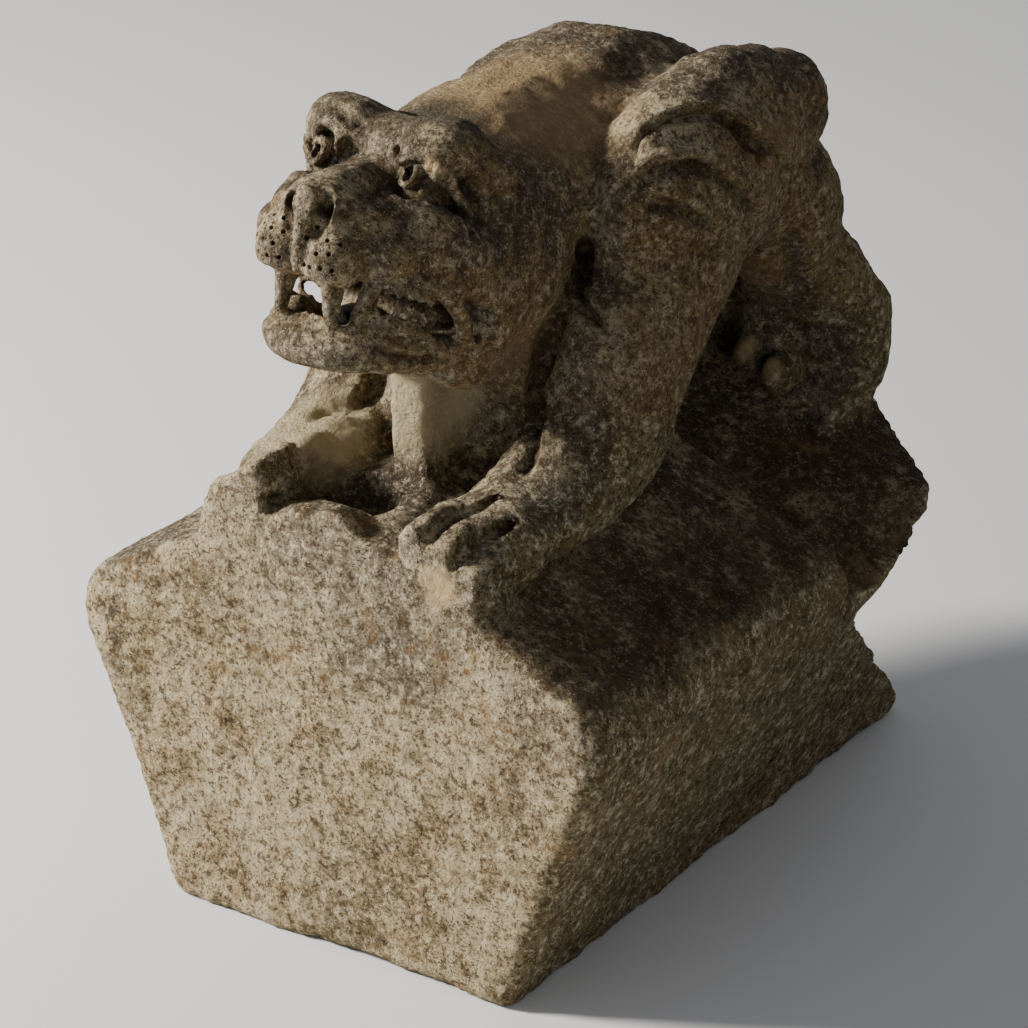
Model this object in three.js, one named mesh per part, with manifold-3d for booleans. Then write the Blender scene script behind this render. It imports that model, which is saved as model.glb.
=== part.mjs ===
// Stone gargoyle: a crouching beast carved in one piece with the saddle-backed coping block
// that it sits astride. Millimetres. +Z is up, the beast faces -Y, and its left side is +X.
// The origin is the centre of the block's underside.

import * as THREE from 'three';
import { mergeVertices } from 'three/addons/utils/BufferGeometryUtils.js';
import Module from 'manifold-3d';

const wasm = await Module();
wasm.setup();

// ---------- driving dimensions ----------

const BASE_HALF = 156;        // half the width of the underside
const EAVES_HALF = 244;       // half the width at the eaves, the block's widest line
const EAVES_HEIGHT = 238;
const RIDGE_HEIGHT = 374;
const HALF_LENGTH = 290;      // half the block's length, front to back
const WORN_EDGE = 10;         // rounding of the block's worn arrises
const ROOF_SINK = 20;         // how much lower the worn roof lies at the back than at the front

const VALLEY_FRONT = 58;      // where the front half of the roof breaks off, measured along Y
const VALLEY_BACK = 196;      // where the ledge under the hind feet begins
const VALLEY_DEPTH = 36;

const NOTCH_APEX = [101, 181];   // Y and Z of the deepest line of the bird's-mouth at the back
const NOTCH_TOP_SLOPE = 0.6;
const NOTCH_FOOT_HEIGHT = 12;

const HEAD_CENTRE = new THREE.Vector3(4, -200, 560);
const HEAD_PITCH = 30;        // degrees the muzzle is lifted
const HEAD_YAW = -4;          // degrees the muzzle is turned to the beast's right

// How far each foreleg and forepaw stands from the middle: the left ones are set wider.
const legSpread = (side) => (side > 0 ? 112 : 94);
const pawSpread = (side) => (side > 0 ? 100 : 80);

const COARSE = 10;            // facets round a limb
const FINE = 14;              // facets round a large rounded mass
const TOE_FACETS = 7;
const TOOTH_FACETS = 6;

// ---------- general helpers ----------

const X_AXIS = new THREE.Vector3(1, 0, 0);
const Y_AXIS = new THREE.Vector3(0, 1, 0);
const Z_AXIS = new THREE.Vector3(0, 0, 1);

const vector = (point) => new THREE.Vector3(...point);

// Turn a closed geometry into a solid that can be joined and cut.
function solid(geometry) {
  geometry.deleteAttribute('normal');
  geometry.deleteAttribute('uv');
  const merged = mergeVertices(geometry, 1e-3);
  const index = merged.index.array;
  const triangles = [];
  for (let i = 0; i < index.length; i += 3) {
    const [a, b, c] = [index[i], index[i + 1], index[i + 2]];
    if (a !== b && b !== c && c !== a) triangles.push(a, b, c);
  }
  return new wasm.Manifold(new wasm.Mesh({
    numProp: 3,
    vertProperties: new Float32Array(merged.attributes.position.array),
    triVerts: new Uint32Array(triangles),
  }));
}

const join = (parts) => parts.reduce((sum, part) => sum.add(part));

// An ellipsoid with the given half sizes, tilted about X, Y and Z in degrees.
function boulder(centre, halfSizes, tilt = [0, 0, 0], facets = FINE) {
  const turn = new THREE.Euler(...tilt.map(THREE.MathUtils.degToRad));
  return new THREE.SphereGeometry(1, facets, Math.round(facets * 0.65))
    .rotateX(Math.PI / 2)
    .scale(...halfSizes)
    .applyMatrix4(new THREE.Matrix4().makeRotationFromEuler(turn))
    .translate(...centre);
}

// A round-ended limb along a smooth curve. Each section is [half width, half thickness].
function limb(points, sections, facets = COARSE) {
  const curve = new THREE.CatmullRomCurve3(points.map(vector), false, 'centripetal');
  const steps = (points.length - 1) * 2;
  const geometry = new THREE.CapsuleGeometry(1, 2, 3, facets, steps);
  const position = geometry.attributes.position;
  for (let i = 0; i < position.count; i += 1) {
    const p = new THREE.Vector3().fromBufferAttribute(position, i);
    const along = THREE.MathUtils.clamp(p.y, -1, 1);
    const t = (along + 1) / 2;
    const place = t * (sections.length - 1);
    const low = Math.min(Math.floor(place), sections.length - 2);
    const [wide, thick] = [0, 1].map((k) => THREE.MathUtils.lerp(
      sections[low][k], sections[low + 1][k], place - low));
    const tangent = curve.getTangent(t);
    const side = X_AXIS.clone().addScaledVector(tangent, -X_AXIS.dot(tangent)).normalize();
    const out = tangent.clone().cross(side);
    const q = curve.getPoint(t)
      .addScaledVector(side, p.x * wide)
      .addScaledVector(out, -p.z * thick)
      .addScaledVector(tangent, (p.y - along) * Math.min(wide, thick));
    position.setXYZ(i, q.x, q.y, q.z);
  }
  return geometry;
}

// A straight prism. The outline's two coordinates run along the first two axes.
function prism(outline, axes, origin, depth) {
  const shape = new THREE.Shape(outline.map(([a, b]) => new THREE.Vector2(a, b)));
  return new THREE.ExtrudeGeometry(shape, { depth, bevelEnabled: false })
    .applyMatrix4(new THREE.Matrix4().makeBasis(...axes))
    .translate(...origin);
}

const bothSides = (make) => [1, -1].flatMap(make);

// ---------- the coping block ----------

const WALL_LEAN = (EAVES_HALF - BASE_HALF) / EAVES_HEIGHT;
const ROOF_FALL = (RIDGE_HEIGHT - EAVES_HEIGHT) / EAVES_HALF;

function blockProfile() {
  const soft = 26;
  const eavesUp = [EAVES_HALF - soft * 0.8, EAVES_HEIGHT + soft * 1.1];
  const shape = new THREE.Shape();
  shape.moveTo(-BASE_HALF, 0);
  shape.lineTo(BASE_HALF, 0);
  shape.lineTo(EAVES_HALF - soft * WALL_LEAN, EAVES_HEIGHT - soft);
  shape.quadraticCurveTo(EAVES_HALF + 2, EAVES_HEIGHT, ...eavesUp);
  shape.quadraticCurveTo(140, 306, 56, 349);
  shape.quadraticCurveTo(0, RIDGE_HEIGHT + 4, -56, 349);
  shape.quadraticCurveTo(-140, 306, -eavesUp[0], eavesUp[1]);
  shape.quadraticCurveTo(-EAVES_HALF - 2, EAVES_HEIGHT, -EAVES_HALF + soft * WALL_LEAN, EAVES_HEIGHT - soft);
  shape.closePath();
  return shape;
}

// Let the roof down a little towards the back, as wear has done.
function sinkRoof(geometry) {
  const position = geometry.attributes.position;
  for (let i = 0; i < position.count; i += 1) {
    const back = (position.getY(i) + HALF_LENGTH) / (2 * HALF_LENGTH);
    const high = Math.max(0, position.getZ(i) / EAVES_HEIGHT - 0.85);
    position.setZ(i, position.getZ(i) - ROOF_SINK * back * Math.min(1, high * 3));
  }
  return geometry;
}

function block() {
  const bevel = {
    depth: 2 * (HALF_LENGTH - WORN_EDGE),
    bevelThickness: WORN_EDGE,
    bevelSize: WORN_EDGE,
    bevelOffset: -WORN_EDGE,
    bevelSegments: 2,
    curveSegments: 4,
  };
  return sinkRoof(new THREE.ExtrudeGeometry(blockProfile(), bevel)
    .applyMatrix4(new THREE.Matrix4().makeBasis(X_AXIS, Z_AXIS, Y_AXIS.clone().negate()))
    .translate(0, HALF_LENGTH - WORN_EDGE, 0));
}

// The hollow across the roof on each side, between the front half and the ledge.
function roofValley(side) {
  const fall = Math.atan(ROOF_FALL);
  const downSlope = new THREE.Vector3(side * Math.cos(fall), 0, -Math.sin(fall));
  const offRoof = new THREE.Vector3(side * Math.sin(fall), 0, Math.cos(fall));
  const outline = [
    [VALLEY_FRONT, 60], [VALLEY_FRONT + 2, -6], [VALLEY_FRONT + 16, -VALLEY_DEPTH],
    [VALLEY_FRONT + 50, -VALLEY_DEPTH + 3], [VALLEY_BACK - 40, -VALLEY_DEPTH + 14],
    [VALLEY_BACK - 8, -8], [VALLEY_BACK + 2, 6], [VALLEY_BACK + 6, 60],
  ];
  const start = new THREE.Vector3(0, 0, RIDGE_HEIGHT).addScaledVector(downSlope, 40);
  const length = 270;
  if (side > 0) return prism(outline, [Y_AXIS, offRoof, downSlope], start, length);
  const flipped = outline.map(([y, rise]) => [-y, rise]);
  return prism(flipped, [Y_AXIS.clone().negate(), offRoof, downSlope], start, length);
}

// The V-shaped rebate across the back of the block.
function birdsMouth() {
  const [apexY, apexZ] = NOTCH_APEX;
  const past = HALF_LENGTH + 40;
  const topAt = (y) => apexZ + NOTCH_TOP_SLOPE * (y - apexY);
  const outline = [
    [apexY, apexZ], [143, 137], [HALF_LENGTH, NOTCH_FOOT_HEIGHT],
    [past, NOTCH_FOOT_HEIGHT - 20], [past, topAt(past)],
  ];
  return prism(outline, [Y_AXIS, Z_AXIS, X_AXIS], [-300, 0, 0], 600);
}

// ---------- the beast's body and legs ----------

function trunk() {
  return [
    limb([[0, -112, 515], [0, -30, 536], [0, 50, 528], [0, 130, 505], [0, 196, 472]],
      [[78, 64], [96, 91], [118, 109], [112, 100], [90, 78]], FINE),
    limb([[0, -70, 400], [0, 70, 410], [0, 225, 395]], [[58, 62], [54, 70], [56, 66]]),
    limb([[6, -88, 510], [6, -98, 440], [6, -108, 365]], [[84, 66], [80, 58], [78, 52]]),
  ];
}

// The square stay left standing between the chin and the ridge.
function stay() {
  const outline = [[-11, -190], [24, -190], [24, -150], [-11, -150]];
  return [prism(outline, [X_AXIS, Y_AXIS, Z_AXIS], [0, 0, 340], 130)];
}

// The trough worn in the ridge between the forelegs. It runs out at the front face.
const ridgeTrough = () => limb([[6, -190, 386], [24, -240, 384], [44, -310, 378]],
  [[34, 34], [32, 34], [26, 32]]);

function neck() {
  return [limb([[4, -60, 556], [4, -118, 538], [4, -162, 520]], [[92, 74], [94, 88], [88, 80]], FINE)];
}

function foreleg(side) {
  const at = (x, y, z) => [side * x, y, z];
  const leg = legSpread(side);
  const raised = [
    boulder(at(leg, 42, 548), [58, 138, 86], [6, 0, 0]),
    boulder(at(leg + 2, 148, 566), [38, 43, 45], [0, 0, 0], COARSE),
    boulder(at(leg + 8, 112, 508), [42, 46, 40], [0, 0, 0], COARSE),
  ];
  const lowered = [
    boulder(at(leg + 4, 30, 502), [46, 116, 60], [4, 0, 0]),
    boulder(at(leg + 16, 104, 488), [40, 46, 40], [0, 0, 0], COARSE),
  ];
  const arm = limb([at(leg, 10, 500), at(leg, -62, 436), at(leg - 2, -96, 378),
    at(leg - 8, -160, 350), at(pawSpread(side), -222, 346)],
  [[50, 66], [50, 68], [50, 60], [48, 38], [44, 30]]);
  return [...(side > 0 ? raised : lowered), arm];
}

// Distance from the middle and height of each toe where it meets the block's front face. Wear has
// made the toes' ends flush with that face.
const foreToes = (side) => (side > 0
  ? [[80, 358], [104, 349], [128, 335]]
  : [[64, 374], [82, 356], [98, 342]]);

function forepaw(side) {
  const at = (x, y, z) => [side * x, y, z];
  const paw = pawSpread(side);
  const knuckle = side > 0 ? 6 : -8;
  const toes = foreToes(side).map(([x, z]) => limb(
    [at(x, -212, z - 4), at(x, -256, z + knuckle), at(x, -288, z)],
    [[13, 16], [13, 15], [13, 15]], TOE_FACETS));
  return [
    boulder(at(paw, -222, 338), [48, 46, 30], [0, side * 14, 0], COARSE),
    boulder(at(paw, -262, 324), [46, 44, 28], [0, side * 26, 0], COARSE),
    ...toes,
  ];
}

// Everything of the paws that would stand out past the block's front face.
const frontTrim = () => prism([[-160, 250], [160, 250], [160, 430], [-160, 430]],
  [X_AXIS, Z_AXIS, Y_AXIS.clone().negate()], [0, -HALF_LENGTH + 2, 0], 60);

function hindLeg(side) {
  const at = (x, y, z) => [side * x, y, z];
  return [
    boulder(at(102, 164, 480), [53, 58, 72], [10, 0, 0]),
    limb([at(104, 176, 462), at(108, 190, 430), at(132, 226, 380), at(128, 230, 332)],
      [[42, 46], [42, 42], [40, 37], [41, 36]]),
    limb([at(78, 190, 450), at(80, 200, 400), at(84, 206, 345)], [[38, 34], [36, 30], [36, 30]]),
  ];
}

function hindPaw(side) {
  const at = (x, y, z) => [side * x, y, z];
  const toes = [62, 88, 114, 138].map((x, i) => limb(
    [at(x + 4, 240, 350 - i * 13), at(x, 206, 346 - i * 14), at(x - 2, 192, 330 - i * 14)],
    [[13, 18], [13, 16], [9, 10]], TOE_FACETS));
  return [boulder(at(106, 234, 322), [58, 40, 30], [0, side * 28, 0], COARSE), ...toes];
}

function tail() {
  return [limb([[0, 250, 500], [6, 262, 430], [26, 262, 380], [62, 262, 352]],
    [[20, 16], [17, 14], [15, 13], [15, 14]], 10)];
}

// ---------- the head, made level and then lifted and turned ----------

const headMatrix = new THREE.Matrix4().makeTranslation(HEAD_CENTRE)
  .multiply(new THREE.Matrix4().makeRotationZ(THREE.MathUtils.degToRad(HEAD_YAW)))
  .multiply(new THREE.Matrix4().makeRotationX(THREE.MathUtils.degToRad(-HEAD_PITCH)));

// Head places are [sideways, forward, up] from the head's centre.
const face = ([x, forward, up]) => [x, -forward, up];

function skull() {
  const pieces = [
    boulder(face([0, -30, 8]), [90, 86, 74]),
    limb([face([0, 20, 12]), face([0, 62, 2]), face([0, 88, -12])], [[30, 34], [22, 22], [20, 20]]),
    boulder(face([6, -14, 50]), [72, 56, 29], [0, 0, 0], COARSE),
    boulder(face([0, -76, -8]), [94, 56, 84], [0, 0, 0], COARSE),
    boulder(face([0, 34, -24]), [54, 58, 32]),
  ];
  bothSides((side) => [
    boulder(face([side * 42, 22, 57]), [33, 32, 23], [20, 0, side * -12], COARSE),
    boulder(face([side * 41, 40, 26]), [19, 17, 17], [0, 0, 0], 8),
    boulder(face([side * 22, 76, -38]), [24, 26, 27], [0, 0, side * 16], COARSE),
    boulder(face([side * 56, 2, -18]), [36, 56, 42], [0, 0, side * -14], COARSE),
    boulder(face([side * 74, -46, -8]), [22, 22, 66], [-6, 0, 0], 8),
    boulder(face([side * 58, -50, -62]), [28, 38, 30], [0, 0, 0], COARSE),
  ]).forEach((piece) => pieces.push(piece));
  return pieces;
}

function lowerJaw() {
  const reach = [[66, -46, -76], [60, 4, -87], [36, 35, -97], [0, 46, -101]];
  const bow = [...reach, ...reach.slice(0, -1).reverse().map(([x, f, u]) => [-x, f, u])];
  const curve = new THREE.CatmullRomCurve3(bow.map((p) => vector(face(p))), false, 'centripetal');
  const half = 15;
  const section = new THREE.Shape([
    [-half, -16], [-half + 5, -19], [half - 5, -17], [half, -9], [half, 8], [half - 5, 15],
    [-half + 6, 18], [-half, 11],
  ].map(([a, b]) => new THREE.Vector2(a, b)));
  const rail = new THREE.ExtrudeGeometry(section, { steps: 14, extrudePath: curve, bevelEnabled: false });
  const floor = boulder(face([0, -8, -94]), [58, 50, 14]);
  return [rail, floor];
}

function teeth() {
  const tooth = (top, tip, wide) => limb([face(top), face(tip)], [[wide, wide], [wide * 0.45, wide * 0.5]],
    TOOTH_FACETS);
  return bothSides((side) => [
    tooth([side * 20, 66, -50], [side * 24, 56, -83], 10),
    tooth([side * 40, 38, -92], [side * 39, 42, -64], 9),
  ]);
}

function mouthGap() {
  const half = [[110, -6], [66, 56], [30, 96]];
  const outline = [
    ...half.map(([x, f]) => [x, -f]),
    ...half.slice().reverse().map(([x, f]) => [-x, -f]),
    [-78, 40], [78, 40],
  ];
  const rise = 27;
  return prism(outline, [X_AXIS, Y_AXIS, Z_AXIS], [0, 0, -84], rise);
}

const placeHead = (geometry) => solid(geometry.applyMatrix4(headMatrix));

// ---------- assembly ----------

const stoneBlock = [...bothSides(roofValley), birdsMouth(), ridgeTrough()]
  .reduce((rest, cutter) => rest.subtract(solid(cutter)), solid(block()));

const beast = join([
  ...trunk(), ...stay(), ...neck(), ...tail(),
  ...bothSides((side) => [...foreleg(side), ...forepaw(side), ...hindLeg(side), ...hindPaw(side)]),
].map(solid)).subtract(solid(frontTrim()));

const head = join(skull().map(placeHead))
  .subtract(placeHead(mouthGap()))
  .add(join([...lowerJaw(), ...teeth()].map(placeHead)));

const carving = stoneBlock.add(beast).add(head);

function toMesh(manifold, name, material) {
  const { vertProperties, triVerts } = manifold.getMesh();
  const geometry = new THREE.BufferGeometry();
  geometry.setAttribute('position', new THREE.BufferAttribute(new Float32Array(vertProperties), 3));
  geometry.setIndex(new THREE.BufferAttribute(new Uint32Array(triVerts), 1));
  geometry.computeVertexNormals();
  const mesh = new THREE.Mesh(geometry, material);
  mesh.name = name;
  return mesh;
}

const weatheredStone = new THREE.MeshStandardMaterial({ color: 0x8f8266, roughness: 0.95, metalness: 0 });

const group = new THREE.Group();
group.add(toMesh(carving, 'gargoyle_stone', weatheredStone));

export default group;
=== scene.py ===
# %% [markdown]
# # A weathered stone gargoyle
#
# The real object is one block of buff sandstone. A mason squared it as a saddle-backed coping, left a
# lump standing on the ridge, and carved the lump as a crouching beast. Then it stood out of doors for
# a long time, so every edge is soft, the upper faces have a dark crust, and the shaded faces are green.
#
# This lesson carves it in the same order: rough block, body, head, cuts, folds, weather, and last the
# surface finish.

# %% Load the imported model
import math

import bpy
import numpy as np
from mathutils import Euler, Matrix, Vector


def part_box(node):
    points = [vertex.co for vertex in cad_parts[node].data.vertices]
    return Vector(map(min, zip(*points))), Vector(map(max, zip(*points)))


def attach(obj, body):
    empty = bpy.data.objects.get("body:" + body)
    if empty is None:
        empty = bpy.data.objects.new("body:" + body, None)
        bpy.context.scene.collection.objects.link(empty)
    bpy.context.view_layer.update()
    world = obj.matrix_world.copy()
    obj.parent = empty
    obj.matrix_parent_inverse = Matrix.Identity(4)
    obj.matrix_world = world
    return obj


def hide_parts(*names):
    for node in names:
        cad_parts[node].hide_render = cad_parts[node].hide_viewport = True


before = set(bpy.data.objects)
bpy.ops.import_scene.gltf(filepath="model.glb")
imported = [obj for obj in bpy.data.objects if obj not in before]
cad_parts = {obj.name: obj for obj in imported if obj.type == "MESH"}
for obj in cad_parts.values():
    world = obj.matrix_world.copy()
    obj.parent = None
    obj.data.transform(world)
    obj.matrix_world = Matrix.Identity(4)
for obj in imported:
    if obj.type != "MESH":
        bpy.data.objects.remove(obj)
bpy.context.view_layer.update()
NODE = "gargoyle_stone"
low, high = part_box(NODE)
MM = 0.001
print("stone box in metres", [round(v, 3) for v in low], [round(v, 3) for v in high])


# %% [markdown]
# ## Small helpers
#
# An operator acts on everything that is selected, so each step first deselects all and then picks the
# one object it works on. Sizes below are in millimetres on the real stone, and `MM` turns them into
# Blender's metres.

# %% Select, copy and apply
def pick(*objects):
    bpy.ops.object.select_all(action="DESELECT")
    for one in objects:
        one.select_set(True)
    bpy.context.view_layer.objects.active = objects[-1]


def apply_modifier(piece, kind, **settings):
    pick(piece)
    modifier = piece.modifiers.new(kind.title(), kind)
    for name, value in settings.items():
        setattr(modifier, name, value)
    bpy.ops.object.modifier_apply(modifier=modifier.name)


def place_in_mesh(piece):
    pick(piece)
    bpy.ops.object.transform_apply(location=True, rotation=True, scale=True)


def merge(pieces):
    pick(*pieces)
    if len(pieces) > 1:
        bpy.ops.object.join()
    return bpy.context.view_layer.objects.active


def spot(x, y, z):
    return Vector((x, y, z)) * MM


def count(piece, title):
    print(f"{title}: {len(piece.data.vertices)} points, {len(piece.data.polygons)} faces")


# %% [markdown]
# ## The head's own axes
#
# The beast looks up and a little to its right. It is far easier to carve a head that is level and
# faces front, and to turn it afterwards. `face` takes a place on the level head, as sideways, forward
# and up from the head's centre, and gives the place on the real one.

# %% Head axes
HEAD_CENTRE = spot(4, -200, 560)
HEAD_PITCH = 30
HEAD_YAW = -4
HEAD_TURN = Euler((math.radians(-HEAD_PITCH), 0, math.radians(HEAD_YAW))).to_matrix()


def face(sideways, forward, up):
    return HEAD_CENTRE + HEAD_TURN @ spot(sideways, -forward, up)


print("nose tip at", [round(v, 3) for v in face(0, 110, -5)])


# %% [markdown]
# ## Rounded masses
#
# A carved head is built from rounded masses that run into each other: the dome of the skull, brows,
# cheeks, the pads that carry the whiskers. Each starts as a sphere that is stretched and turned. They
# are left overlapping here, and a voxel remesh later makes them one skin.

# %% Boulders, rods and pegs
ROUND_STEPS = 32


def boulder(centre, half_sizes, tilt=(0, 0, 0), turn=None):
    bpy.ops.object.select_all(action="DESELECT")
    bpy.ops.mesh.primitive_uv_sphere_add(segments=ROUND_STEPS, ring_count=ROUND_STEPS // 2, radius=1)
    piece = bpy.context.active_object
    own = Euler([math.radians(a) for a in tilt]).to_matrix()
    whole = (turn @ own if turn else own).to_4x4()
    stretch = Matrix.Diagonal((*(s * MM for s in half_sizes), 1))
    piece.matrix_world = Matrix.Translation(centre) @ whole @ stretch
    place_in_mesh(piece)
    return piece


def head_boulder(centre, half_sizes, tilt=(0, 0, 0)):
    return boulder(face(*centre), half_sizes, tilt, HEAD_TURN)


FEWEST_POINTS = 5


def halved(values):
    """The same values, with the middle of each neighbouring pair put between them."""
    middles = [(a + b) / 2 for a, b in zip(values, values[1:])]
    return [value for pair in zip(values, middles) for value in pair] + [values[-1]]


def rod(points, radii):
    """A round bar along a smooth curve, with its own radius at each point."""
    points, radii = [Vector(p) for p in points], list(radii)
    while len(points) < FEWEST_POINTS:
        points, radii = halved(points), halved(radii)
    bpy.ops.object.select_all(action="DESELECT")
    bpy.ops.curve.primitive_nurbs_path_add()
    piece = bpy.context.active_object
    piece.name = "rod"
    piece.data.bevel_depth = MM
    piece.data.bevel_resolution = 6
    piece.data.use_fill_caps = True
    spline = piece.data.splines[0]
    spline.points.add(len(points) - len(spline.points))
    for target, point, radius in zip(spline.points, points, radii):
        target.co = (*point, 1)
        target.radius = radius
    spline.use_endpoint_u = True
    spline.order_u = 4
    spline.resolution_u = 5
    pick(piece)
    bpy.ops.object.convert(target="MESH")
    bpy.ops.object.mode_set(mode="EDIT")
    bpy.ops.mesh.select_all(action="SELECT")
    bpy.ops.mesh.remove_doubles(threshold=0.05 * MM)
    bpy.ops.mesh.normals_make_consistent(inside=False)
    bpy.ops.object.mode_set(mode="OBJECT")
    place_in_mesh(bpy.context.active_object)
    return bpy.context.active_object


def head_rod(places, radii):
    return rod([face(*p) for p in places], radii)


def peg(middle, direction, radius, depth):
    """A straight round bar, used to bore a hole."""
    bpy.ops.object.select_all(action="DESELECT")
    bpy.ops.mesh.primitive_cylinder_add(vertices=20, radius=radius * MM, depth=depth * MM)
    piece = bpy.context.active_object
    piece.matrix_world = Matrix.Translation(middle) @ direction.to_track_quat("Z", "Y").to_matrix().to_4x4()
    place_in_mesh(piece)
    return piece


print("helpers ready")

# %% [markdown]
# ## Rough block and body
#
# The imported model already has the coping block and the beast's masses in their right places, but its
# faces are flat facets. A copy of it is merged, its blocked-out head is sawn off to make room for a
# finer one, and a voxel remesh gives an even skin that can be smoothed until the limbs flow together.

# %% Copy the blocked-out carving
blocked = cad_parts[NODE]
stone = blocked.copy()
stone.data = blocked.data.copy()
stone.name = "carved_stone"
stone.parent = None
bpy.context.scene.collection.objects.link(stone)
pick(stone)
bpy.ops.object.mode_set(mode="EDIT")
bpy.ops.mesh.select_all(action="SELECT")
bpy.ops.mesh.remove_doubles(threshold=0.01 * MM)
bpy.ops.object.mode_set(mode="OBJECT")
count(stone, "blocked out")


# %% Saw off the blocked-out head
def cut_with(piece, cutter):
    """Take one closed shape away. Cutters that overlap are used one after the other."""
    apply_modifier(piece, "BOOLEAN", operation="DIFFERENCE", solver="MANIFOLD", object=cutter)
    bpy.data.objects.remove(cutter)


def box(centre, size):
    bpy.ops.object.select_all(action="DESELECT")
    bpy.ops.mesh.primitive_cube_add(size=1)
    piece = bpy.context.active_object
    piece.matrix_world = Matrix.Translation(spot(*centre)) @ Matrix.Diagonal((*(v * MM for v in size), 1))
    place_in_mesh(piece)
    return piece


cut_with(stone, box((0, -250, 570), (300, 190, 222)))
cut_with(stone, box((0, -285, 445), (300, 140, 70)))
count(stone, "head sawn off")


# %% Round the body
HEAD_SKIN = 1.6
STONE_SKIN = 1.8


def skin(piece, size, smooth=0, factor=0.5):
    """One even skin over everything in the piece, with faces of about this size, then smoothed."""
    apply_modifier(piece, "REMESH", mode="VOXEL", voxel_size=size * MM, adaptivity=0)
    if smooth:
        apply_modifier(piece, "SMOOTH", factor=factor, iterations=smooth)


skin(stone, 4, smooth=14)
count(stone, "rounded body")

# %% [markdown]
# ## The head's masses
#
# Skull, muzzle, brows, cheeks and the two whisker pads overlap like a handful of pebbles. The eye is a
# ball set in the socket, with the lids laid over it as thin rods.

# %% Skull, muzzle, brows and cheeks
LEFT, RIGHT = 1, -1


def both(make):
    """The pieces of the left side and then of the right."""
    return [piece for side in (LEFT, RIGHT) for piece in make(side)]


def skull():
    pieces = [
        head_boulder((0, -34, 2), (88, 84, 74)),
        head_boulder((0, -78, -8), (95, 58, 88)),
        head_boulder((6, -14, 50), (74, 58, 30)),
        head_rod([(0, 6, 16), (0, 40, 10), (2, 72, 2), (4, 88, -6)], (30, 25, 21, 18)),
        head_boulder((5, 92, -10), (27, 16, 19)),
        head_boulder((5, 88, 4), (23, 14, 9)),
        head_rod([(28, 84, 4), (32, 84, -8), (28, 80, -24)], (6, 8, 7)),
        head_rod([(-18, 84, 4), (-22, 84, -8), (-18, 80, -24)], (6, 8, 7)),
        head_boulder((0, 30, -24), (50, 56, 28)),
        head_boulder((0, 62, -22), (30, 34, 26)),
    ]
    pieces += both(lambda side: [
        head_boulder((side * 42, 22, 57), (33, 32, 23), (20, 0, side * -12)),
        head_boulder((side * 21 + 1, 75, -38), (24, 26, 27), (0, 0, side * 16)),
        head_boulder((side * 31, 52, -12), (22, 36, 24)),
        head_boulder((side * 44, 44, -26), (28, 30, 24), (0, 0, side * 30)),
        head_boulder((side * 52, -4, -20), (42, 60, 46), (0, 0, side * -10)),
        head_boulder((side * 60, 14, -2), (24, 40, 22), (0, 0, side * -14)),
        head_boulder((side * 72, -44, -16), (26, 34, 70)),
        head_boulder((side * 56, -54, -66), (28, 38, 34)),
    ])
    return pieces


head = merge(skull())
skin(head, 3, smooth=8)
count(head, "head masses")

# %% [markdown]
# ## Eyes
#
# Both eyes look to the beast's right. Each pupil is a bored hole with a raised ring round it. A heavy
# lid runs over the ball and hangs down the temple as a strap, and the cheek's top edge is the lower lid.

# %% Eyes and lids
GAZE = {
    LEFT: HEAD_TURN @ Vector((-0.30, -0.92, 0.20)).normalized(),
    RIGHT: HEAD_TURN @ Vector((-0.34, -0.90, 0.16)).normalized(),
}
EYE = {LEFT: (44, 30, 28), RIGHT: (-38, 32, 28)}
EYE_RADIUS = 17


def socket(side):
    x = EYE[side][0]
    inner_corner = {
        LEFT: (((21, 22, 62), (23, 40, 48), (25, 52, 30), (26, 58, 12), (27, 62, -2)), (4, 6, 6, 5, 3)),
        RIGHT: (((-22, 50, 28), (-24, 56, 14), (-25, 60, 2)), (3, 5, 3)),
    }
    under_brow = {LEFT: (3, 5, 3), RIGHT: (7, 9, 8)}
    return [
        head_rod(*inner_corner[side]),
        head_rod([(x - side * 2, 56, 22), (x + side * 12, 46, 17), (x + side * 21, 30, 20)], (7, 8, 5)),
        head_rod([(x - side * 8, 54, 40), (x, 54, 42), (x + side * 8, 50, 42)], under_brow[side]),
    ]


def eye(side):
    ball = boulder(face(*EYE[side]), (EYE_RADIUS,) * 3)
    s = side
    lid = head_rod([(s * 27, 48, 36), (s * 36, 50, 46), (s * 49, 47, 46), (s * 58, 40, 40), (s * 65, 27, 31),
                    (s * 70, 16, 24), (s * 76, 6, 17)], (4, 5, 6, 6.5, 6, 5.5, 4))
    under = head_rod([(s * 35, 54, 10), (s * 44, 54, 9), (s * 55, 47, 8), (s * 68, 30, 8), (s * 78, 10, 8)],
                     (6, 7, 8, 8, 7))
    return [ball, lid, under]


for cutter in both(socket):
    cut_with(head, cutter)
head = merge([head, *both(eye)])
skin(head, 2, smooth=2)
cut_with(head, head_rod([(-28, 52, 42), (-37, 53, 45), (-47, 48, 44)], (4, 7, 5)))
count(head, "head with eyes")

# %% [markdown]
# ## Nose
#
# The nostrils are deep and wing-shaped, and a narrow ridge runs down between the whisker pads to the lip.

# %% Nostrils and the ridge under the nose
NOSE = 5  # the nose's middle, sideways from the head's


def nostril(side):
    return [
        head_rod([(NOSE + side * 13, 104, 4), (NOSE + side * 16, 102, -8), (NOSE + side * 14, 99, -22),
                  (NOSE + side * 11, 97, -32)], (4, 6.5, 6, 4)),
        head_rod([(NOSE + side * 16, 108, -9), (NOSE + side * 14, 82, -11)], (5.5, 4)),
        head_rod([(NOSE + side * 8, 104, -28), (NOSE + side * 7, 99, -42), (NOSE + side * 6, 92, -58)],
                 (4, 4.5, 4)),
    ]


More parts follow.
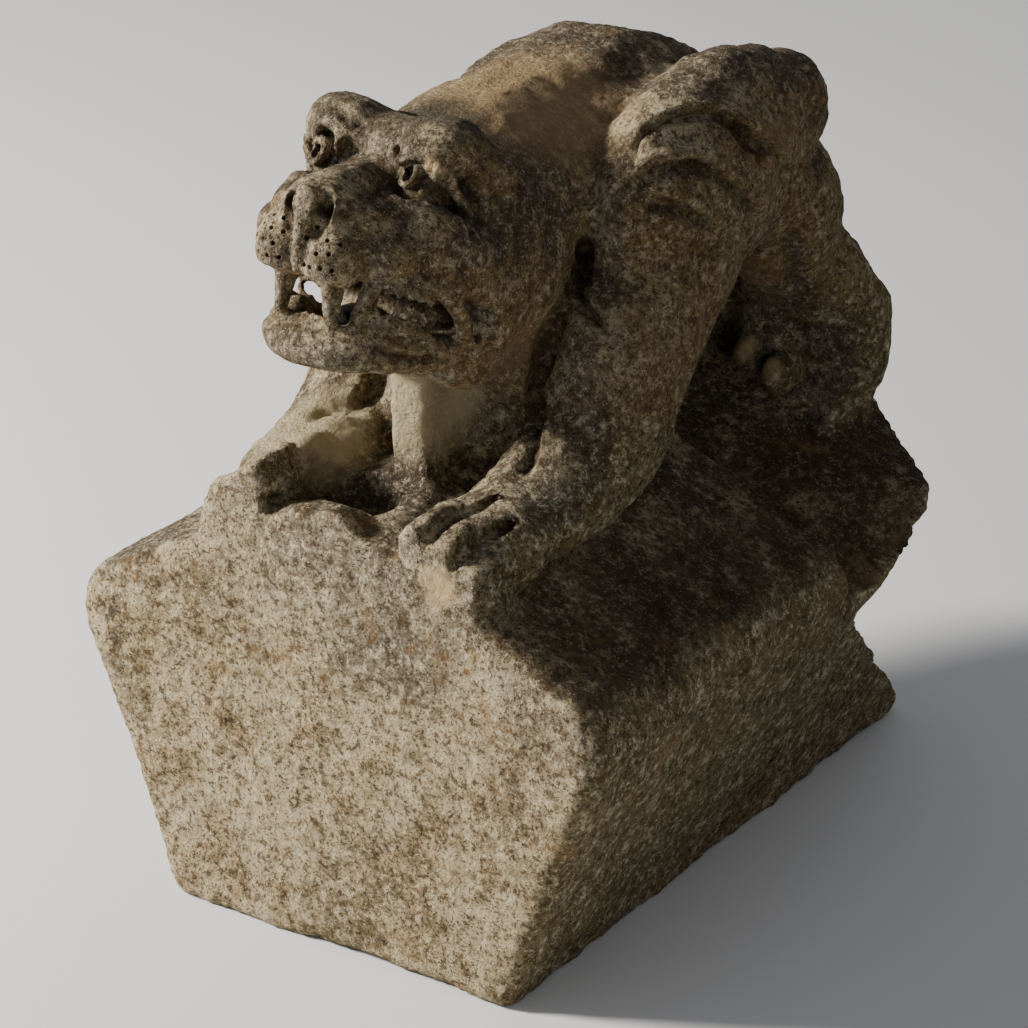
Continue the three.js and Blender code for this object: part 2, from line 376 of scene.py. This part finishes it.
for cutter in both(nostril):
    cut_with(head, cutter)
head = merge([head, head_rod([(NOSE, 101, 2), (NOSE, 102, -12), (NOSE, 99, -28), (NOSE - 1, 94, -44),
                              (NOSE - 2, 86, -58)], (9, 8, 6, 5, 4))])

# %% [markdown]
# ## Mouth
#
# The mouth is cut right through from cheek to cheek, so light shows between the long canine teeth.

# %% Mouth, jaw, tongue and teeth
def mouth():
    wide = head_boulder((0, 8, -62), (170, 46, 25), (12, 0, 0))
    bpy.ops.object.select_all(action="DESELECT")
    bpy.ops.mesh.primitive_cylinder_add(vertices=48, radius=1, depth=1)
    slot = bpy.context.active_object
    slot.matrix_world = (
        Matrix.Translation(face(0, 40, -72)) @ HEAD_TURN.to_4x4()
        @ Matrix.Diagonal((64 * MM, 64 * MM, 28 * MM, 1))
    )
    place_in_mesh(slot)
    slot = merge([slot, wide])
    skin(slot, 2.5, smooth=2)
    return slot


def lower_jaw():
    half = [(66, -50, -70), (60, 2, -84), (40, 33, -96), (14, 46, -101)]
    bow = half + [(-x, f, u) for x, f, u in reversed(half)]
    lip = [(68, -34, -78), (62, 6, -82), (46, 32, -87), (22, 52, -88)]
    edge = lip + [(-x, f, u) for x, f, u in reversed(lip)]
    return [
        head_rod(bow, (14, 14, 16, 17, 17, 16, 14, 14)),
        head_rod(edge, (7, 7, 7, 7, 7, 7, 7, 7)),
        head_boulder((0, -8, -90), (56, 50, 14)),
        head_rod([(0, -40, -82), (0, -4, -82), (0, 26, -86)], (26, 22, 14)),
        *both(lambda side: [head_rod([(side * 34, 38, -80), (side * 47, 30, -76), (side * 60, 10, -74),
                                      (side * 64, -12, -76)], (7, 8, 8, 7))]),
        boulder(spot(4, -178, 482), (70, 52, 44)),
    ]


def upper_lip(side):
    if side == RIGHT:
        return head_rod([(-26, 56, -42), (-34, 46, -41), (-50, 34, -40), (-66, 22, -41), (-76, 4, -48),
                         (-80, -12, -58)], (6,) * 6)
    return head_rod([(26, 58, -43), (40, 51, -41), (58, 46, -38), (75, 35, -36), (84, 15, -42),
                     (84, -8, -54), (77, -26, -67), (66, -38, -76)], (6, 6, 6, 6.5, 6.5, 6.5, 6.5, 7))


def canines(side):
    """The long upper tooth, and the lower one behind it. The right lower one is broken short."""
    s = side
    long_tooth = head_rod([(s * 20, 70, -48), (s * 22, 67, -60), (s * 24, 58, -86)], (9, 9, 4))
    if side == RIGHT:
        return [long_tooth, head_boulder((-30, 36, -84), (9, 9, 14))]
    return [long_tooth, head_rod([(34, 42, -90), (36, 45, -74), (38, 45, -42)], (6.5, 7.5, 7))]


def row(side, start, end, number, size):
    teeth = []
    for i in range(number):
        t = i / (number - 1)
        x, f, u = (a + (b - a) * t for a, b in zip(start, end))
        bulge = 4 * math.sin(math.pi * t)
        teeth.append(head_boulder((side * (x + bulge), f + bulge, u), size, (0, 0, side * -40)))
    return teeth


cut_with(head, mouth())
head = merge([
    head, *lower_jaw(), *both(lambda side: [upper_lip(side), *canines(side)]),
    *row(LEFT, (46, 50, -48), (80, 30, -45), 6, (3, 4, 9.5)),
    *row(RIGHT, (42, 38, -47), (68, 18, -45), 5, (3, 4, 9)),
    *row(LEFT, (46, 41, -73), (70, 11, -70), 6, (3.2, 4, 9)),
    *row(RIGHT, (40, 34, -76), (58, 8, -73), 5, (3.2, 4, 7)),
    *row(LEFT, (-12, 52, -85), (12, 52, -85), 5, (2.6, 3, 6)),
])
skin(head, HEAD_SKIN, smooth=1)
# Light passes between the long teeth and out at the far corner of the mouth. A slot parts the near
# tooth from the cheek.
for ends, radius in (
    (((-4, 58, -64), (-120, -86, -58)), 6.5),
    (((5, 58, -66.5), (-108, -86, -61)), 6.5),
    (((39, 68, -59), (11, 33, -57)), 4.8),
    (((39, 67, -69), (11, 32, -67)), 4.6),
    (((38, 66, -79), (12, 33, -78)), 4),
):
    cut_with(head, head_rod(ends, (radius, radius)))
count(head, "head with mouth")

# %% [markdown]
# ## Paws and the worn rim
#
# The fore paws run out flush with the front face. Behind the rim of the gable the stone is hollowed
# between the fore legs.

# %% Worn paw, rim and hind toes
def block_rod(places, radii):
    return rod([spot(*p) for p in places], radii)


def plate(outline, front, rear):
    """A block with the given outline, looking from the front, between two places along Y."""
    bpy.ops.object.select_all(action="DESELECT")
    bpy.ops.mesh.primitive_circle_add(vertices=len(outline), fill_type="NGON")
    piece = bpy.context.active_object
    for vertex, (x, z) in zip(piece.data.vertices, outline):
        vertex.co = spot(x, front, z)
    bpy.ops.object.mode_set(mode="EDIT")
    bpy.ops.mesh.select_all(action="SELECT")
    bpy.ops.mesh.extrude_region_move(TRANSFORM_OT_translate={"value": (0, (rear - front) * MM, 0)})
    bpy.ops.mesh.select_all(action="SELECT")
    bpy.ops.mesh.normals_make_consistent(inside=False)
    bpy.ops.object.mode_set(mode="OBJECT")
    return piece


worn_paw = plate(
    ((-120, 314), (-109, 348), (-99, 363), (-82, 371), (-70, 384), (-58, 388), (-54, 326)), -287, -240,
)
rim = plate(
    ((-62, 316), (-58, 338), (-37, 351), (-6, 362), (8, 369), (20, 360), (28, 350), (40, 346), (40, 316)),
    -288, -272,
)
toes = both(lambda side: [
    boulder(spot(side * 76, 184, 346), (13, 26, 17)),
    boulder(spot(side * 104, 180, 335), (13, 26, 17)),
])
edges = merge([worn_paw, rim])
skin(edges, 2, smooth=8)

# %% Join head and body
stone = merge([head, edges, *toes, stone])
stone.name = "carved_stone"
skin(stone, STONE_SKIN, smooth=1, factor=0.4)
count(stone, "head and body")

# %% [markdown]
# ## Carving strokes
#
# A fold is carved by painting a soft weight along a path on the surface and letting a Displace modifier
# push the painted skin in or out. The path's places are pulled onto the surface first.

# %% Strokes
def along(points, step=2.0):
    """Places every few millimetres along a smooth curve through the points."""
    ends = [points[0] * 2 - points[1], *points, points[-1] * 2 - points[-2]]
    places = []
    for a, b, c, d in zip(ends, ends[1:], ends[2:], ends[3:]):
        number = max(2, int((c - b).length / (step * MM)))
        for i in range(number):
            t = i / number
            places.append(0.5 * (2 * b + (c - a) * t + (2 * a - 5 * b + 4 * c - d) * t * t
                                 + (3 * b - a - 3 * c + d) * t ** 3))
    return places + [points[-1]]


def carve(piece, strokes, depth):
    """Push the skin in by depth along each (places, half width). A negative depth raises it."""
    mesh = piece.data
    where = np.empty(len(mesh.vertices) * 3, dtype=np.float32)
    mesh.vertices.foreach_get("co", where)
    where = where.reshape(-1, 3)
    weight = np.zeros(len(where), dtype=np.float32)
    for places, reach in strokes:
        line = np.array([piece.closest_point_on_mesh(p)[1] for p in along([Vector(p) for p in places])])
        ends = np.linspace(0, 1, len(line))
        taper = np.clip(np.minimum(ends, 1 - ends) * 6, 0.25, 1)
        reach = reach * MM
        near = np.flatnonzero(np.all((where > line.min(0) - reach) & (where < line.max(0) + reach), axis=1))
        if not len(near):
            continue
        gap = np.linalg.norm(where[near, None] - line[None], axis=2)
        best = gap.argmin(axis=1)
        soft = np.clip(1 - (gap.min(axis=1) / reach) ** 2, 0, 1) ** 2 * taper[best]
        weight[near] = np.maximum(weight[near], soft)
    group = piece.vertex_groups.new(name="stroke")
    for level in range(1, 33):
        chosen = np.flatnonzero((weight * 32).round() == level)
        group.add([int(i) for i in chosen], level / 32, "REPLACE")
    apply_modifier(piece, "DISPLACE", vertex_group=group.name, strength=-depth * MM, mid_level=0)
    piece.vertex_groups.clear()


def body_line(side, *places):
    """Places on the body, in millimetres. The right flank is a little narrower than the left."""
    return [spot(side * x * (1 if side > 0 else 0.86), y, z - (0 if side > 0 else 26)) for x, y, z in places]


def head_line(side, *places):
    return [face(side * x, f, u) for x, f, u in places]


# %% Folds of the shoulder, neck and back
outer_arc = (
    (123, -74, 580), (121, -53, 600), (127, -38, 607), (138, -13, 611),
    (150, 10, 605), (162, 30, 586), (167, 63, 564), (165, 83, 546),
)
inner_arc = (
    (124, -81, 567), (132, -69, 577), (142, -52, 583), (155, -26, 577),
    (164, -2, 558), (167, 23, 534), (162, 46, 507),
)
third_arc = ((135, -78, 552), (144, -65, 557), (153, -47, 552), (159, -28, 535), (160, -19, 521))
neck_slot = (
    (98, -88, 543), (86, -79, 517), (82, -77, 497), (100, -101, 486), (123, -111, 476), (133, -113, 462),
)
leg_slot = ((81, -95, 475), (75, -110, 451), (73, -120, 426), (89, -149, 396), (106, -191, 379))
blade = ((79, -31, 596), (85, -13, 611), (90, 12, 619), (80, 50, 617))
spine_side = ((67, -160, 600), (59, -105, 606), (58, -58, 608), (55, -13, 614), (57, 22, 618), (54, 70, 612))
haunch = ((142, 112, 490), (142, 124, 462), (138, 140, 430), (124, 163, 407))


def lifted(line, by):
    """The same line, moved outward and up, for the raised edge beside a groove."""
    return tuple((x + by * 0.3, y - by * 0.2, z + by) for x, y, z in line)


carve(stone, [(body_line(side, *lifted(line, 10)), 12) for side in (LEFT, RIGHT)
              for line in (outer_arc, inner_arc, third_arc)], -4)
carve(stone, [(body_line(side, *line), reach) for side in (LEFT, RIGHT) for line, reach in (
    (outer_arc, 8), (inner_arc, 9), (third_arc, 8), (haunch, 12))], 9)
carve(stone, [(body_line(side, *line), reach) for side in (LEFT, RIGHT) for line, reach in (
    (blade, 16), (spine_side, 18))], 4)
carve(stone, [(body_line(side, *line), reach) for side in (LEFT, RIGHT) for line, reach in (
    (neck_slot, 9), (leg_slot, 11))], 10)
# A hollow and two knocks behind the left shoulder.
carve(stone, [
    ([spot(150, 14, 596), spot(158, 30, 578), spot(162, 42, 560)], 12),
    ([spot(160, 66, 548), spot(160, 84, 536)], 9),
    ([spot(150, 100, 545), spot(156, 96, 520)], 8),
], 7)

# %% Folds of the face
carve(stone, [(head_line(side, *line), reach) for side in (LEFT, RIGHT) for line, reach in (
    (((56, 48, 34), (62, 36, 26), (68, 22, 19), (74, 10, 13)), 6),
    (((66, 32, 40), (72, 18, 32), (78, 6, 24), (84, -4, 14)), 6),
    (((60, -24, 66), (76, -34, 50), (88, -32, 26), (92, -30, 0), (90, -34, -26)), 9),
    (((40, 40, -92), (54, 26, -92), (68, 6, -88), (76, -14, -82)), 6),
    (((88, 6, -36), (92, -14, -46), (88, -36, -60), (82, -44, -78)), 8),
    (((60, 20, 62), (70, 6, 54), (76, -12, 42)), 9))], 5)
carve(stone, [(head_line(side, *line), reach) for side in (LEFT, RIGHT) for line, reach in (
    (((44, 44, 66), (30, 44, 58), (14, 40, 56)), 7),
    (((0, 20, 66), (0, 0, 72), (0, -30, 74)), 14))], 4)


def circle(side, radius):
    """A round path on the eyeball, about the line of gaze."""
    middle = face(*EYE[side]) + GAZE[side] * EYE_RADIUS * MM
    across = GAZE[side].cross(Vector((0, 0, 1))).normalized()
    over = across.cross(GAZE[side])
    return [middle + (across * math.cos(a) + over * math.sin(a)) * radius * MM
            for a in (math.tau * i / 12 for i in range(13))]


carve(stone, [(circle(side, 14.5), 4.5) for side in (LEFT, RIGHT)], 5)
carve(stone, [(circle(side, 8.5), 3.6) for side in (LEFT, RIGHT)], -4.5)
carve(stone, [(head_line(side, (50, 47, 47), (58, 41, 41), (65, 28, 32), (70, 17, 24), (75, 7, 18)), 6)
              for side in (LEFT, RIGHT)], -3.5)
count(stone, "folds carved")

# %% Hollows and gaps between the toes
cutters = [
    boulder(spot(-14, -232, 362), (40, 34, 32)),
    block_rod([(60, -300, 372), (64, -276, 372), (66, -256, 366)], (3, 4, 2)),
    block_rod([(94, -300, 360), (92, -272, 372), (96, -240, 374), (104, -214, 372)], (6, 8, 7, 4)),
    block_rod([(118, -300, 346), (116, -272, 362), (120, -244, 364), (128, -218, 360)], (6, 8, 7, 4)),
    block_rod([(146, -300, 318), (142, -272, 342), (146, -240, 342)], (6, 9, 6)),
    block_rod([(88, 156, 340), (89, 176, 340), (91, 204, 346)], (5, 6, 4)),
]
for cutter in cutters:
    cut_with(stone, cutter)
count(stone, "gaps cut")

# %% [markdown]
# ## Weather
#
# Rain and frost take the skin off unevenly. Three sizes of cloud texture push the surface about: broad
# hollows, finger-sized lumps, and a sandy pitting.

# %% Weathered skin
def paint(piece, name, weight, chosen):
    """A vertex group of every point: at this weight where chosen(place) is true, and at 1 elsewhere."""
    group = piece.vertex_groups.new(name=name)
    inside = [v.index for v in piece.data.vertices if chosen(v.co)]
    group.add(list(range(len(piece.data.vertices))), 1.0, "REPLACE")
    group.add(inside, weight, "REPLACE")
    return group.name


def on_face(place):
    """The face is more sheltered than the rest, and its detail is kept finer."""
    return place.y < -210 * MM and place.z > 465 * MM


def weather(piece, grain, strength, noise_depth):
    texture = bpy.data.textures.new(f"weather_{grain}", "CLOUDS")
    texture.noise_scale = grain * MM
    texture.noise_depth = noise_depth
    apply_modifier(piece, "DISPLACE", texture=texture, texture_coords="LOCAL", strength=strength * MM,
                   mid_level=0.5, vertex_group=exposed)


exposed = paint(stone, "exposed", 0.5, on_face)
weather(stone, 70, 7, noise_depth=1)
weather(stone, 22, 3.5, noise_depth=2)
weather(stone, 8, 2.6, noise_depth=2)
stone.vertex_groups.clear()
# The thin rear eaves have worn blunt.
blunt = paint(stone, "blunt", 0.0, lambda place: place.y < 190 * MM or place.z > 400 * MM)
apply_modifier(stone, "SMOOTH", factor=0.5, iterations=10, vertex_group=blunt)
stone.vertex_groups.clear()
count(stone, "weathered")

# %% Whisker holes and pupils
WHISKERS = ((16, -24), (27, -23), (12, -33), (22, -33), (32, -31), (17, -43), (27, -42), (37, -40), (12, -51),
            (22, -52), (32, -51), (41, -50), (42, -31))
holes = []
for side in (LEFT, RIGHT):
    for x, u in WHISKERS:
        start = face(side * x, 130, u)
        hit, place, normal, _ = stone.ray_cast(start, (face(side * x * 0.8, 60, u) - start).normalized())
        if hit:
            holes.append(peg(place, normal, 1.7, 10))
for side in (LEFT, RIGHT):
    holes.append(peg(face(*EYE[side]) + GAZE[side] * EYE_RADIUS * MM, GAZE[side], 5.0, 26))
print("bored holes", len(holes))
cut_with(stone, merge(holes))

# %% Thin to the final count
FINEST = 196000
triangles = sum(len(p.vertices) - 2 for p in stone.data.polygons)
keep = paint(stone, "keep_fine", 0.0, on_face)
apply_modifier(stone, "DECIMATE", ratio=min(1, FINEST / triangles), vertex_group=keep,
               vertex_group_factor=0.6)
stone.vertex_groups.clear()
place_in_mesh(stone)
stone.data.calc_loop_triangles()
print("final triangles", len(stone.data.loop_triangles))
pick(stone)
bpy.ops.object.shade_smooth()

# %% [markdown]
# ## Sandstone
#
# The colour is built up in layers, most of them the way the stone weathered: buff grains first, then green on
# what never dries, a grey crust on what faces the sky, brown-black stains on the roof, light and dark grains,
# ochre lichen, painted shade in the hollows, and last painted light on some places, painted shade on others,
# and the pale broken chips. `Signal` lets the node tree be written as sums and products.

# %% Signals
class Signal:
    """One value or colour that flows through a material's nodes."""

    def __init__(self, tree, socket):
        self.tree, self.socket = tree, socket

    def feed(self, target, value):
        if isinstance(value, Signal):
            self.tree.links.new(value.socket, target)
        else:
            target.default_value = value

    def node(self, kind, settings, **sockets):
        """Any node. Settings are set first. A socket is named, or numbered as in _0."""
        made = self.tree.nodes.new(kind)
        for name, value in settings.items():
            setattr(made, name, value)
        for name, value in sockets.items():
            key = int(name[1:]) if name.startswith("_") else name
            self.feed(made.inputs[key], value)
        return made

    def signal(self, made, output=0):
        return Signal(self.tree, made.outputs[output])

    def math(self, operation, *values):
        sockets = {f"_{i}": value for i, value in enumerate(values)}
        return self.signal(self.node("ShaderNodeMath", {"operation": operation}, **sockets))

    def __add__(self, other):
        return self.math("ADD", self, other)

    def __radd__(self, other):
        return self.math("ADD", other, self)

    def __sub__(self, other):
        return self.math("SUBTRACT", self, other)

    def __rsub__(self, other):
        return self.math("SUBTRACT", other, self)

    def __mul__(self, other):
        return self.math("MULTIPLY", self, other)

    def __rmul__(self, other):
        return self.math("MULTIPLY", other, self)

    def __truediv__(self, other):
        return self.math("DIVIDE", self, other)

    def __neg__(self):
        return self.math("MULTIPLY", self, -1.0)

    def between(self, low, high):
        """0 below low, 1 above high, and a smooth step from one to the other."""
        made = self.node("ShaderNodeMapRange", {"interpolation_type": "SMOOTHSTEP"},
                         _0=self, _1=low, _2=high, _3=0.0, _4=1.0)
        return self.signal(made)

    def noise(self, scale, detail=4.0, rough=0.6, stretch=0.0):
        made = self.node("ShaderNodeTexNoise", {}, Vector=self, Scale=scale, Detail=detail, Roughness=rough,
                         Distortion=stretch)
        return self.signal(made)

    def tint(self, amount, colour):
        """This colour, washed over with another by the amount given."""
        made = self.node("ShaderNodeMix", {"data_type": "RGBA"}, _0=amount, _6=self, _7=colour)
        return self.signal(made, 2)

    def part(self, name):
        made = self.node("ShaderNodeSeparateXYZ", {}, _0=self)
        return self.signal(made, name)


def shade(red, green, blue):
    """A colour as the eye names it, 0 to 255, turned into light."""
    return (*(((c / 255 + 0.055) / 1.055) ** 2.4 for c in (red, green, blue)), 1)


# %% Hollows, for painted shade
pick(stone)
bpy.ops.object.mode_set(mode="VERTEX_PAINT")
bpy.ops.paint.vertex_color_dirt(blur_strength=1, blur_iterations=3, clean_angle=math.radians(150),
                                dirt_angle=math.radians(40), dirt_only=False)
bpy.ops.object.mode_set(mode="OBJECT")
hollow_name = stone.data.color_attributes[0].name
print("hollows stored in", hollow_name)

# %% Weathered sandstone
sandstone = bpy.data.materials.new("weathered_sandstone")
sandstone.use_nodes = True
tree = sandstone.node_tree
finish = tree.nodes["Principled BSDF"]
finish.inputs["Roughness"].default_value = 0.95
finish.inputs["Specular IOR Level"].default_value = 0.2

start = Signal(tree, None)
place_node = start.node("ShaderNodeTexCoord", {})
place = start.signal(place_node, "Object")
facing = start.signal(place_node, "Normal")
up, side, front = facing.part("Z"), facing.part("X"), -facing.part("Y")
height = place.part("Z") / (1000 * MM)
hollow = start.signal(start.node("ShaderNodeAttribute", {"attribute_name": hollow_name}), "Fac")

broad = place.noise(6, 3, 0.55)
patch = place.noise(20, 6, 0.66, 0.2)
blotch = place.noise(62, 6, 0.72)
speck = place.noise(170, 5, 0.75)
grain = place.noise(430, 3, 0.8)
ridges = place.noise(12, 5, 0.7) + speck * 0.25
RAGGED = 30.0


def reach(centre):
    """The distance from a place, in millimetres."""
    gap = start.node("ShaderNodeVectorMath", {"operation": "DISTANCE"}, _0=place, _1=centre[:])
    return start.signal(gap, "Value") / MM


def near(centre, inner, outer):
    """1 close to a place given in millimetres, 0 away from it, with a ragged edge."""
    return (reach(Vector(centre) * MM) + (blotch - 0.5) * RAGGED).between(outer, inner)


cell = start.signal(start.node("ShaderNodeTexVoronoi", {}, Vector=place, Scale=260.0, Randomness=1.0))

buff = start.node("ShaderNodeRGB", {})
buff.outputs[0].default_value = shade(196, 178, 142)
colour = start.signal(buff)
colour = colour.tint(patch.between(0.44, 0.62) * 0.7, shade(160, 132, 92))
colour = colour.tint(ridges.between(0.64, 0.74) * 0.55, shade(112, 94, 68))
colour = colour.tint(ridges.between(0.56, 0.46) * 0.4, shade(206, 192, 160))
wet = (side * 0.8 - up * 0.5 + patch * 0.5 + broad * 0.6).between(0.5, 1.1)
colour = colour.tint(wet * 0.8, shade(116, 104, 64))
beast = height.between(0.37, 0.42) * (1.0 - front.between(0.5, 0.9) * 0.4)
colour = colour.tint(beast * (broad + patch * 0.6).between(0.6, 0.95) * 0.6, shade(142, 106, 66))

sky = (up * 0.5 + broad * 1.3 + patch * 1.2 + blotch * 0.7 + height * 0.25).between(1.9, 2.2)
colour = colour.tint(sky * 0.75, shade(80, 76, 66))
gable_top = (height + broad * 0.25 + patch * 0.25 + place.part("X") * 0.35).between(0.46, 0.62)
gable = gable_top * front.between(0.6, 0.9)
colour = colour.tint(gable * 0.6, shade(98, 94, 86))
low_roof = up.between(0.35, 0.75) * side.between(0.05, 0.4) * (1.0 - height.between(0.27, 0.34))
roof = low_roof * (patch * 0.6 + blotch * 0.9).between(0.5, 0.78)
colour = colour.tint(low_roof * 0.5, shade(108, 88, 56))
colour = colour.tint(roof * 0.7, shade(58, 44, 27))
colour = colour.tint(blotch.between(0.53, 0.62) * 0.7, shade(96, 76, 50))
colour = colour.tint(blotch.between(0.47, 0.36) * (0.7 - low_roof * 0.5 - beast * 0.35), shade(222, 206, 168))
colour = colour.tint(speck.between(0.52, 0.6) * 0.8, shade(76, 60, 40))
colour = colour.tint(speck.between(0.46, 0.37) * (0.6 - low_roof * 0.4 - beast * 0.2), shade(232, 218, 184))
colour = colour.tint(grain.between(0.54, 0.64) * 0.9, shade(50, 40, 28))
colour = colour.tint(cell.between(0.24, 0.08) * grain.between(0.4, 0.55) * 0.5, shade(232, 224, 204))

ochre = (place.noise(15, 5, 0.7, 0.4) + blotch * 0.6).between(0.88, 1.0)
colour = colour.tint(ochre * 0.35, shade(168, 132, 86))
pale = (speck * 0.9 + grain * 0.5).between(0.86, 0.96)
colour = colour.tint(pale * 0.4, shade(214, 204, 178))
# Black crust patches, real colour, that also lean into the hollows as painted shade.
black = (place.noise(95, 6, 0.8) * 0.9 + patch * 0.5 - hollow * 0.25).between(0.66, 0.78)
colour = colour.tint(black * 0.75, shade(38, 33, 26))
# Painted shade: hollows, creases and corners are darkened as if the light did not reach into them.
colour = colour.tint((1.0 - hollow.between(0.1, 0.5)) * 0.65, shade(34, 27, 18))
# Light buff for painted light on places that should look lit.
painted_light_buff = shade(206, 190, 152)
# Painted light for the hind toes.
painted_toe_light = shade(206, 178, 130)
# Crust darkened further as painted shade, for the brow and the crown.
crust_and_shade = shade(70, 64, 50)
fresh = shade(222, 188, 142)
for centre, inner, outer, amount, wash in (
    # Painted light: the stay under the chin and the floor between the fore legs are lightened as if lit by
    # the lamp.
    ((2, -178, 420), 36, 62, 0.8, painted_light_buff),  # the stay under the chin
    ((-78, -200, 380), 30, 60, 0.8, painted_light_buff),  # the hollow between the fore legs
    ((30, -60, 625), 40, 100, 0.6, shade(196, 164, 118)),  # the back, behind the head
    # Painted light: the two hind toes are lightened as if lit.
    ((72, 166, 352), 4, 16, 0.85, painted_toe_light),  # the hind toes
    ((102, 162, 342), 4, 16, 0.85, painted_toe_light),
    # Crust with painted shade: the left brow and the crown are darkened, partly for their crust and partly
    # for the shade on that side of the head.
    (face(40, 14, 74) / MM, 20, 44, 0.65, crust_and_shade),  # the left brow and the crown
    (face(-4, -30, 76) / MM, 20, 44, 0.65, crust_and_shade),
    # Painted shade: the upper arm is darkened as if in shadow.
    ((158, -130, 500), 15, 70, 0.55, shade(84, 70, 44)),  # the upper arm
    # Painted shade: a dark patch inside the mouth stands in for its shadow.
    (face(14, 26, -64) / MM, 24, 33, 0.95, shade(26, 20, 13)),  # inside the mouth
    # Painted light: the throat is lightened as if lit.
    ((60, -150, 470), 20, 60, 0.5, shade(170, 144, 104)),  # the throat
):
    colour = colour.tint(near(centre, inner, outer) * (amount + 0.2 - speck * 0.4), wash)
# Chips: the front toe, the rear eaves and the lid.
for centre, inner, outer in (((104, -288, 332), 7, 22), ((228, 222, 240), 5, 26), ((60, -222, 618), 3, 9)):
    colour = colour.tint(near(centre, inner, outer) * 0.8, fresh)
# Painted shade: the pupil holes and the nostril ends are darkened as if in shadow.
for side_sign in (LEFT, RIGHT):
    pupil = face(*EYE[side_sign]) + GAZE[side_sign] * (EYE_RADIUS - 4) * MM
    nostril_end = face(NOSE + side_sign * 15, 98, -12)
    colour = colour.tint(reach(pupil).between(8.2, 7.2), shade(30, 20, 12))
    colour = colour.tint(reach(nostril_end).between(9.0, 6.0) * 0.8, shade(32, 24, 16))
start.feed(finish.inputs["Base Color"], colour)

relief = grain * 0.8 + speck * 1.6 + blotch * 1.4 - cell * 0.4
bump = start.node("ShaderNodeBump", {}, Strength=1.0, Distance=4.2 * MM, Height=relief)
start.feed(finish.inputs["Normal"], start.signal(bump))

stone.data.materials.clear()
stone.data.materials.append(sandstone)

print("sandstone has", len(tree.nodes), "nodes")

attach(stone, "root")
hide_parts(NODE)

# %% Floor
bpy.ops.object.select_all(action="DESELECT")
bpy.ops.mesh.primitive_plane_add(size=12)
floor = bpy.context.active_object
floor.name = "studio_floor"
pale = bpy.data.materials.new("pale_floor")
pale.use_nodes = True
pale.node_tree.nodes["Principled BSDF"].inputs["Base Color"].default_value = (0.8, 0.8, 0.8, 1)
pale.node_tree.nodes["Principled BSDF"].inputs["Roughness"].default_value = 0.9
floor.data.materials.append(pale)

# %% Camera
AZIMUTH = math.radians(35.2)
ELEVATION = math.radians(24.7)
ROLL = math.radians(-0.92)
back = Vector((
    math.sin(AZIMUTH) * math.cos(ELEVATION),
    -math.cos(AZIMUTH) * math.cos(ELEVATION),
    math.sin(ELEVATION),
))
right = Vector((math.cos(AZIMUTH), math.sin(AZIMUTH), 0))
up = back.cross(right)
right, up = (
    right * math.cos(ROLL) + up * math.sin(ROLL),
    up * math.cos(ROLL) - right * math.sin(ROLL),
)
bpy.ops.object.select_all(action="DESELECT")
bpy.ops.object.camera_add()
camera = bpy.context.active_object
camera.matrix_world = Matrix.Translation(
    back * 3128 * MM + right * -31 * MM + up * 229 * MM
) @ Matrix((right, up, back)).transposed().to_4x4()
camera.data.lens = 135
camera.data.sensor_width = 36
bpy.context.scene.camera = camera


# %% Lights
def lamp(name, place, aim, size, power, colour):
    bpy.ops.object.select_all(action="DESELECT")
    bpy.ops.object.light_add(type="AREA")
    light = bpy.context.active_object
    light.name = name
    light.location = place
    light.rotation_euler = (Vector(aim) - Vector(place)).to_track_quat("-Z", "Y").to_euler()
    light.data.shape = "DISK"
    light.data.size = size
    light.data.energy = power
    light.data.color = colour


lamp("key_softbox", (-3.0, -1.9, 2.0), (0, 0, 0.35), 0.8, 375, (1, 0.96, 0.9))
lamp("fill_softbox", (2.6, -2.2, 0.9), (0, 0, 0.3), 2.0, 5, (0.94, 0.97, 1))

bpy.ops.world.new()
world = bpy.data.worlds[-1]
bpy.context.scene.world = world
world.use_nodes = True
world.node_tree.nodes["Background"].inputs["Color"].default_value = (0.9, 0.93, 1, 1)
world.node_tree.nodes["Background"].inputs["Strength"].default_value = 0.27
